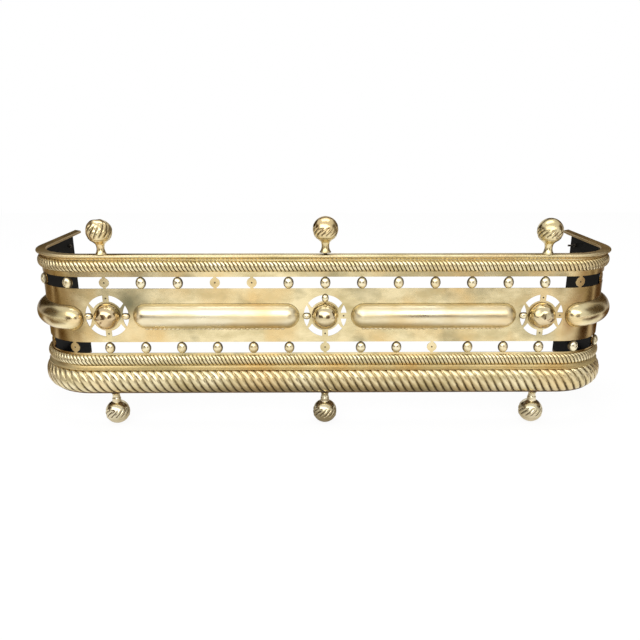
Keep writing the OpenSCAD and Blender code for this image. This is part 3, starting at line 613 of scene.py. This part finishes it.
class FENDER_OT_ropes(bpy.types.Operator):
    """The three twisted mouldings"""
    bl_idname = "fender.ropes"
    bl_label = "Twisted mouldings"

    SHALLOW = 0.6           # depth of the grooves along both edges, as a share of that in front
    DIRT, CLEANER = 1.1, 0.35       # old polish and painted shade in the grooves, and how much less the upper half has, painted as lit
    LINE, NARROW = 0.8, 12          # strength and sharpness of the painted shadow line along the underside

    def execute(self, context):
        p = context.scene.fender_mouldings
        for node in ("top_rope", "lower_rope"):
            self.rope(node, p.strand, p.groove, p.lean, high=21 * MM, out=7 * MM, cols=10,
                      steps=16, fill=1.0, edge=0.45, material=finish("brass moulding, twisted"))
        self.rope("base_rope", p.base_strand, p.base_groove, p.base_lean, high=46 * MM,
                  out=14.5 * MM, cols=14, steps=26, fill=0.68, edge=0.2,
                  material=finish("brass moulding, twisted and rubbed"))
        return {"FINISHED"}

    @classmethod
    def rope(cls, node, strand, groove, lean, high, out, cols, steps, fill, edge, material):
        """A half-round moulding of strands that lean from upper left to lower right, with cols
        points to a strand and steps round it. Old polish and painted shade start at edge, between 0
        on a strand's crest and 1 at the bottom of a groove, and fill is their strength there; the
        lower half is painted darker, and a painted shadow line runs along the underside."""
        z_mid = middle(node)[2]
        end = path_end()
        count = round(2 * end / strand)
        pitch = 2 * end / count
        shift = round(lean * cols)
        verts, marks = [], []
        total = count * cols + shift
        for i in range(total + 1):
            for j in range(steps + 1):
                a = math.pi * (j / steps - 0.5)
                s = -end + pitch * (i / cols - shift / cols * j / steps)
                phase = (i / cols) % 1.0
                t = abs(2 * phase - 1)
                cut = groove * (1 - math.sqrt(max(0.0, 1 - t * t)))
                s = min(end, max(-end, s))
                x, y = plan(s, SEAT + (out - cut) * math.cos(a))
                verts.append((x, y, z_mid + (high / 2 - SEAT - cut * cls.SHALLOW) * math.sin(a)))
                # Painted shade with the old polish: the grooves are darker on the lower half, away
                # from the light, and a painted shadow line runs along the underside.
                filled = (t - edge) / (1 - edge) * cls.DIRT * (fill - cls.CLEANER * math.sin(a))
                painted_shadow_line = max(0.0, -math.sin(a)) ** cls.NARROW * cls.LINE
                marks.append(max(filled, painted_shadow_line))
        # The flat back and the two ends
        faces = grid_faces(total + 1, steps + 1)
        for i in range(total):
            a, b = i * (steps + 1), (i + 1) * (steps + 1)
            faces.append((a, b, b + steps, a + steps))
        faces.append(tuple(range(steps, -1, -1)))
        faces.append(tuple(total * (steps + 1) + j for j in range(steps + 1)))
        make_piece(node + "_twist", verts, faces, material, [node], marks)


class FENDER_OT_balls(bpy.types.Operator):
    """The fluted balls of the finials and feet, with their necks"""
    bl_idname = "fender.balls"
    bl_label = "Finials and feet"

    FINIALS = ("finial_left", "finial_centre", "finial_right")
    FEET = ("foot_left", "foot_centre", "foot_right", "foot_rear_left", "foot_rear_right")

    # Height of the neck, its radius at the far end, the share of its height from there to its
    # waist, and the latitude where the ball runs into it. Then latitudes on the ball: where the
    # flutes begin, where they start to fade, where they end, and where the rings are.
    FINIAL = (18.5 * MM, 10.5 * MM, 0.6, 45, -27, -4, 16, (-33, -43))
    FOOT = (17.2 * MM, 9.7 * MM, 0.4, 68, -16, 16, 30, (-22,))
    DENTED = (22, 52)           # where the flutes of the left finial fade and end
    WAIST = 6.7 * MM            # radius of a neck's waist
    LIP = 1.6 * MM              # how far over a finial's ball its neck starts to spread
    SWELL = 5 * MM              # how far from its waist a foot's neck widens towards the ball
    FLAT = 0.3 * MM             # what the floor has worn off a foot's ball
    RING_H, RING_HALF = 0.5 * MM, 3         # height of a ring, and half its width in degrees
    RING_DIRT, BESIDE = 0.6, (2.5, 5)       # old polish and painted shade beside a ring, and from where to where it lies
    FLUTE_DIRT, FLUTE_EDGE = 1.9, 0.45      # old polish and painted shade in the flutes, and how near the ridges it starts
    DEEPEN = 4                  # degrees over which the flutes deepen where they begin
    # The deep dent beside the left finial's crown: depth, half its width in radians, and how far
    # up and aside it lies. Then depth and size of the shallow ones round it, on a ball of radius 1.
    CROWN_DENT = (4 * MM, 0.5, 0.94, 0.34)
    DENTS = (1.5 * MM, 0.5)
    TURNS, STEPS = 56, 30       # rows of points on the ball and on the neck

    def execute(self, context):
        for seed, node in enumerate(self.FINIALS + self.FEET):
            self.ball(node, node in self.FEET, seed)
        return {"FINISHED"}

    def ball(self, node, is_foot, seed):
        """One ball and its neck, turned from a profile and then fluted and dented."""
        p = bpy.context.scene.fender_balls
        neck_h, base, share, taper, low_lat, fade_lat, high_lat, rings = (
            self.FOOT if is_foot else self.FINIAL)
        dented = node == "finial_left"
        if dented:
            fade_lat, high_lat = self.DENTED
        r = p.ball_d / 2
        flat = self.FLAT if is_foot else 0.0
        # Painted shade along the neck, darkest at its far end, where a foot's neck goes in under
        # the base moulding and a finial's stands on the rail: its level there, and the height over
        # which it fades.
        grime_and_shade_level, neck_shade_h = (0.9, 3.5 * MM) if is_foot else (0.8, 1 * MM)    # at the neck's far end
        up = 1 if is_foot else -1           # the neck is above a foot's ball and below a finial's
        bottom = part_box(node)[0][2]
        z_ball = bottom + r - flat if is_foot else bottom + neck_h + r
        top = neck_h + r

        # From the plain end of the ball to the latitude where it runs into the neck
        first, taper = -math.asin(1 - flat / r), math.radians(taper)
        profile = [(TIP, -(r - flat))]
        for k in range(self.TURNS + 1):
            lat = first + (taper - first) * k / self.TURNS
            profile.append((max(TIP, r * math.cos(lat)), r * math.sin(lat)))

        # Along the neck, which is an arc about its waist
        curve = ((base - self.WAIST) ** 2 + (neck_h * share) ** 2) / (2 * (base - self.WAIST))
        for k in range(1, self.STEPS + 1):
            z = r * math.sin(taper) + (top - r * math.sin(taper)) * k / self.STEPS
            along = top - z - neck_h * share
            along = min(along, self.SWELL) if is_foot else along
            neck = self.WAIST + curve - math.sqrt(max(0.0, curve ** 2 - along ** 2))
            ball = math.sqrt(max(0.0, r * r - z * z))
            lip = r + self.LIP - z
            cone = self.WAIST + lip * 1.04 if z < r + self.LIP and not is_foot else 0.0
            profile.append((max(neck, ball, cone), z))
        profile.append((TIP, top))

        def shaped(row, radius, z, a):
            """Radius, height and mark of a point: flutes, rings, dents, and painted shade along the
            neck, darkest at its far end.
            """
            if row > self.TURNS + 1:
                return radius, z * up, max(0.1, grime_and_shade_level - (top - z) / neck_shade_h)
            lat = math.degrees(math.atan2(z * up, radius))
            mark, push = 0.0, 0.0
            if low_lat < lat < high_lat:
                part = (lat - low_lat) / (high_lat - low_lat)
                phase = (a / (2 * math.pi) * p.flutes - p.twist * part) % 1.0
                t = abs(2 * phase - 1)
                fade = min(1.0, (lat - low_lat) / self.DEEPEN,
                           1 - (lat - fade_lat) / (high_lat - fade_lat))
                push -= p.flute_depth * (1 - math.sqrt(max(0.0, 1 - t * t))) * fade
                mark = (t - self.FLUTE_EDGE) * self.FLUTE_DIRT * fade
            for ring in rings:
                gap = abs(lat - ring)
                if gap < self.RING_HALF:
                    push += self.RING_H * math.cos(gap / self.RING_HALF * math.pi / 2)
                if self.BESIDE[0] < gap < self.BESIDE[1]:
                    mark = max(mark, self.RING_DIRT)
            if dented:
                deep, half, upward, sideways = self.CROWN_DENT
                shallow, size = self.DENTS
                level, tall = math.cos(math.radians(lat)), math.sin(math.radians(lat))
                toward = tall * upward + level * math.sin(a + seed) * sideways
                from_dent = math.acos(max(-1.0, min(1.0, toward)))
                push -= deep * math.exp(-(from_dent / half) ** 2)
                # The shallow ones start 20 degrees below the middle, in full from 10 above it
                spot = (level * math.cos(a), level * math.sin(a), tall)
                rising = min(1.0, max(0.0, (lat + 20) / 30))
                push += dent(spot, seed + 3, size, shallow) * rising
            scale = (r + push) / r
            return radius * scale, z * up * scale, mark

        x, y = middle(node)[:2]
        place, spin, cols = Matrix.Translation((x, y, z_ball)), seed * 0.7, p.flutes * 8
        verts, marks = [], []
        for row, (r_row, z_row) in enumerate(profile):
            for c in range(cols):
                a = 2 * math.pi * c / cols
                radius, z, mark = shaped(row, r_row, z_row, a)
                turned = Vector((radius * math.cos(a + spin), radius * math.sin(a + spin), z))
                verts.append(place @ turned)
                marks.append(mark)
        faces = grid_faces(len(profile), cols, around=True)
        material = finish("cast brass, scoured" if is_foot else "cast brass, turned")
        make_piece(node + "_ball", verts, faces, material, [node], marks)


class FENDER_OT_domes(bpy.types.Operator):
    """The three hollow domes, with the dents of long use"""
    bl_idname = "fender.domes"
    bl_label = "Domes"

    # Seed and depth of the small dents, then angle and depth of the flats round the rim. Depths
    # are in millimetres and angles in degrees.
    DENTS = {
        "dome_left": (3, 1.0, ((-35, 3.0), (-145, 3.0), (150, 1.5))),
        "dome_centre": (9, 0.25, ()),
        "dome_right": (14, 2.4, ((140, 1.0),)),
    }
    DENT_SIZE = 14 * MM
    FLAT_SPREAD = 24            # degrees from the middle of a flat to where it has mostly gone
    DIRT, DIRTY_RIM = 1.1, 0.2  # old polish and painted shade round the rim, where the dome meets the panel, and up to what latitude, in radians
    RINGS, COLS = 28, 72

    def execute(self, context):
        r = context.scene.fender_pressings.dome_r
        for node, (seed, depth, flats) in self.DENTS.items():
            x, _, z = middle(node)
            verts, marks = [], []
            for k in range(self.RINGS + 1):
                lat = math.pi / 2 * k / self.RINGS
                for c in range(self.COLS):
                    a = 2 * math.pi * c / self.COLS
                    v = Vector((r * math.cos(lat) * math.cos(a), -r * math.sin(lat),
                                r * math.cos(lat) * math.sin(a)))
                    push = -abs(dent(v, seed, self.DENT_SIZE, depth * MM)) * math.sin(lat)
                    for at, deep in flats:
                        off = (math.degrees(a) - at + 180) % 360 - 180
                        push -= deep * MM * math.exp(-(off / self.FLAT_SPREAD) ** 2) * math.cos(lat)
                    v = v * (1 + push / r)
                    verts.append((x + v.x, FACE_Y - SEAT + v.y, z + v.z))
                    marks.append(max(0.0, self.DIRT - lat / self.DIRTY_RIM))
            faces = grid_faces(self.RINGS + 1, self.COLS, around=True)
            make_piece(node + "_pressing", verts, faces, finish("sheet brass, pressed"),
                       [node], marks)
        return {"FINISHED"}


class FENDER_OT_beads(bpy.types.Operator):
    """The oval beads of the two rows and the small beads round the domes"""
    bl_idname = "fender.beads"
    bl_label = "Beads"

    PITCH = 66 * MM             # from bead to bead; they are numbered from the middle of the front
    FRONT, LAST = 6, 10         # number of the last bead of the front, and of a return
    BARE = {"upper": (-6, -3, -2, 7, 8), "lower": (-8, -7, 0, 3)}       # tabs without their bead
    # Small beads: the dome, its bay, and the angles from the right at which one is still there
    PEARLS = (("left", -1, (0, 180)), ("centre", 0, (90, 180)), ("right", 1, (180,)))
    PEARL_RING = 33.65 * MM     # radius of the ring of small beads round a dome
    PEARL = (12.5 * MM, 15.5 * MM, 5.5 * MM)        # width, height and depth of a small bead
    DIRT, DIRTY_RIM = 1.35, 0.75    # old polish and a painted dark rim, for the dim sides that a bead reflects, and up to what latitude, in radians
    SHANK_R = 1.45 * MM
    SHANK_ENDS = (-1.3 * MM, -0.2 * MM)             # of a broken shank, behind the panel's face

    def execute(self, context):
        p = context.scene.fender_pressings
        stubs = []
        for row, bare in self.BARE.items():
            for part, numbers in (("front", range(-self.FRONT, self.FRONT + 1)),
                                  ("left", range(-self.LAST, -self.FRONT)),
                                  ("right", range(self.FRONT + 1, self.LAST + 1))):
                node = f"{row}_beads_{part}"
                z = middle(node)[2]
                self.heads(node, [(k * self.PITCH, z, p.bead_w, p.bead_h, p.bead_out, 0.0)
                                  for k in numbers if k not in bare])
                stubs += [(k * self.PITCH, z) for k in numbers if k in bare]
        for part, side, angles in self.PEARLS:
            s, z = side * context.scene.fender_plan.bay, middle("dome_centre")[2]
            spots = {a: (s + self.PEARL_RING * math.cos(math.radians(a)),
                         z + self.PEARL_RING * math.sin(math.radians(a)))
                     for a in (0, 90, 180, 270)}
            self.heads(f"pearls_{part}", [(*spots[a], *self.PEARL, math.radians(90 - a))
                                          for a in angles])
            stubs += [spots[a] for a in spots if a not in angles]
        self.broken(stubs)
        return {"FINISHED"}

    @classmethod
    def heads(cls, node, places):
        """Domed oval heads that stand out from the panel's face, as one piece."""
        verts, faces, marks = [], [], []
        rings, cols = 12, 40
        inside = 0.999          # keeps a head just inside the CAD's bead
        for s, z, wide, high, out, roll in places:
            first = len(verts)
            for k in range(rings + 1):
                lat = math.pi / 2 * k / rings
                for c in range(cols):
                    a = 2 * math.pi * c / cols
                    # u along the panel and v up it, before and after the bead is rolled
                    u = wide / 2 * math.cos(lat) * math.cos(a)
                    v = high / 2 * math.cos(lat) * math.sin(a)
                    u, v = (u * math.cos(roll) + v * math.sin(roll),
                            v * math.cos(roll) - u * math.sin(roll))
                    x, y = plan(s + u * inside, SEAT + out * math.sin(lat))
                    verts.append((x, y, z + v))
                    marks.append(max(0.0, cls.DIRT - lat / cls.DIRTY_RIM))
            faces += grid_faces(rings + 1, cols, around=True, first=first)
            faces.append(tuple(first + c for c in range(cols)))
        make_piece(node + "_heads", verts, faces, finish("brass beads, stamped"),
                   [node], marks)

    @classmethod
    def broken(cls, stubs):
        """The ends of broken shanks, left in the holes of bare tabs."""
        verts, faces = [], []
        cols = 16
        for s, z in stubs:
            first = len(verts)
            for out in cls.SHANK_ENDS:
                for c in range(cols):
                    a = 2 * math.pi / cols * c
                    x, y = plan(s + cls.SHANK_R * math.cos(a), out)
                    verts.append((x, y, z + cls.SHANK_R * math.sin(a)))
            faces += grid_faces(2, cols, around=True, first=first)
            faces += [tuple(range(first, first + cols)),
                      tuple(range(first + cols, first + 2 * cols))]
        make_piece("broken_shanks", verts, faces, finish("steel, turned and dulled"),
                   [])


class FENDER_OT_bosses(bpy.types.Operator):
    """The four long half-round pressings"""
    bl_idname = "fender.bosses"
    bl_label = "Long bosses"

    HIGH, OUT = 47.5 * MM, 18.3 * MM        # height of a boss, and how far it stands out
    FRONT_GAP = 7.5 * MM                    # from a ring of openings to a front boss
    CORNER_GAP = 4 * MM                     # and to a corner boss
    REAR_GAP = 20 * MM                      # from a corner boss to the end of the return
    BROAD, SMALL = 45 * MM, 20 * MM         # sizes of the dents
    DIRTY_RIM = 2.4 * MM                    # height up to which old polish and painted shade lie round the rim, where the boss meets the panel
    ALONG, AROUND, RINGS = 90, 24, 18       # points along a side, round an end, and rows of them

    def execute(self, context):
        p, wear = context.scene.fender_plan, context.scene.fender_pressings.wear
        near, far = p.ring_r + self.FRONT_GAP, p.bay + p.ring_r + self.CORNER_GAP
        end = path_end() - self.REAR_GAP
        # Where a boss begins and ends along the path, its seed, and how badly it is worn
        for node, first, last, seed, worn in (
            ("boss_front_left", near - p.bay, -near, 2, 1),
            ("boss_front_right", near, p.bay - near, 5, 1),
            ("boss_corner_left", -end, -far, 8, 3),
            ("boss_corner_right", far, end, 11, 3),
        ):
            z = middle(node)[2]
            arc = ((self.HIGH / 2) ** 2 + self.OUT ** 2) / (2 * self.OUT)
            start, stop = first + self.HIGH / 2, last - self.HIGH / 2
            verts, marks = [], []
            for k in range(self.RINGS + 1):
                d = self.HIGH / 2 * (1 - k / self.RINGS)
                lift = math.sqrt(arc * arc - d * d) - (arc - self.OUT)
                points = self.outline(start, stop, d)
                for s, v in points:
                    push = (dent((s, v * 2, 0), seed, self.BROAD, wear)
                            + dent((s, v, 0), seed + 7, self.SMALL, wear * (worn - 1)))
                    x, y = plan(s, SEAT + max(0.0, lift + push * min(1, lift / self.OUT * 2)))
                    verts.append((x, y, z + v))
                    marks.append(max(0.0, 1.0 - lift / self.DIRTY_RIM))
            faces = grid_faces(self.RINGS + 1, len(points), around=True)
            material = finish("sheet brass, drawn and dented")
            if worn == 1:
                material = finish("sheet brass, drawn and rubbed")
                self.tacks(verts, faces, marks, start, stop, z - self.HIGH / 2, seed)
            make_piece(node + "_pressing", verts, faces, material, [node], marks)
        return {"FINISHED"}

    @classmethod
    def outline(cls, start, stop, d):
        """Points round a long shape with round ends, d from the line between start and stop."""
        n, m = cls.ALONG, cls.AROUND
        points = [(start + (stop - start) * i / n, -d) for i in range(n + 1)]
        points += [(stop + d * math.sin(math.pi * i / m), -d * math.cos(math.pi * i / m))
                   for i in range(1, m)]
        points += [(stop - (stop - start) * i / n, d) for i in range(n + 1)]
        points += [(start - d * math.sin(math.pi * i / m), d * math.cos(math.pi * i / m))
                   for i in range(1, m)]
        return points

    @staticmethod
    def tacks(verts, faces, marks, start, stop, z, seed):
        """Spots of old solder along the lower edge of a boss, about 2.6 mm in radius and 8 mm
        apart, drawn out along the edge and darkened round their rims with old polish and painted
        shade."""
        s, rings, cols, drawn_out = start, 4, 10, 1.5
        while s < stop:
            chance = noise.noise(Vector((s * 90, seed, 0)))
            r, first = (2.6 + 1.2 * chance) * MM, len(verts)
            for k in range(rings + 1):
                lat = math.pi / 2 * k / rings
                for c in range(cols):
                    a = 2 * math.pi * c / cols
                    x, y = plan(s + drawn_out * r * math.cos(lat) * math.cos(a),
                                SEAT + r * math.sin(lat))
                    verts.append((x, y, z + r * math.cos(lat) * math.sin(a)))
                    marks.append(1.1 - 1.6 * k / rings)
            faces += grid_faces(rings + 1, cols, around=True, first=first)
            s += (8 + 5 * chance) * MM


STEPS = (FENDER_OT_stage, FENDER_OT_finishes, FENDER_OT_ropes, FENDER_OT_balls, FENDER_OT_domes,
         FENDER_OT_beads, FENDER_OT_bosses)


class FENDER_PT_panel(bpy.types.Panel):
    """Lists the fender's pieces and sizes"""
    bl_idname = "FENDER_PT_panel"
    bl_label = "Brass Fire Fender"
    bl_space_type = "VIEW_3D"
    bl_region_type = "UI"
    bl_category = "Fender"

    def draw(self, context):
        for made in STEPS:
            self.layout.operator(made.bl_idname)
        for key, group in GROUPS.items():
            box = self.layout.box()
            for name in group.__annotations__:
                box.prop(getattr(context.scene, key), name)


CLASSES = (*GROUPS.values(), *STEPS, FENDER_PT_panel)


def register():
    for made in CLASSES:
        bpy.utils.register_class(made)
    for key, group in GROUPS.items():
        setattr(bpy.types.Scene, key, bpy.props.PointerProperty(type=group))


def unregister():
    for key in GROUPS:
        delattr(bpy.types.Scene, key)
    for made in reversed(CLASSES):
        bpy.utils.unregister_class(made)


def main():
    register()
    for made in STEPS:
        group, name = made.bl_idname.split(".")
        getattr(getattr(bpy.ops, group), name)()


if __name__ == "__main__":
    main()
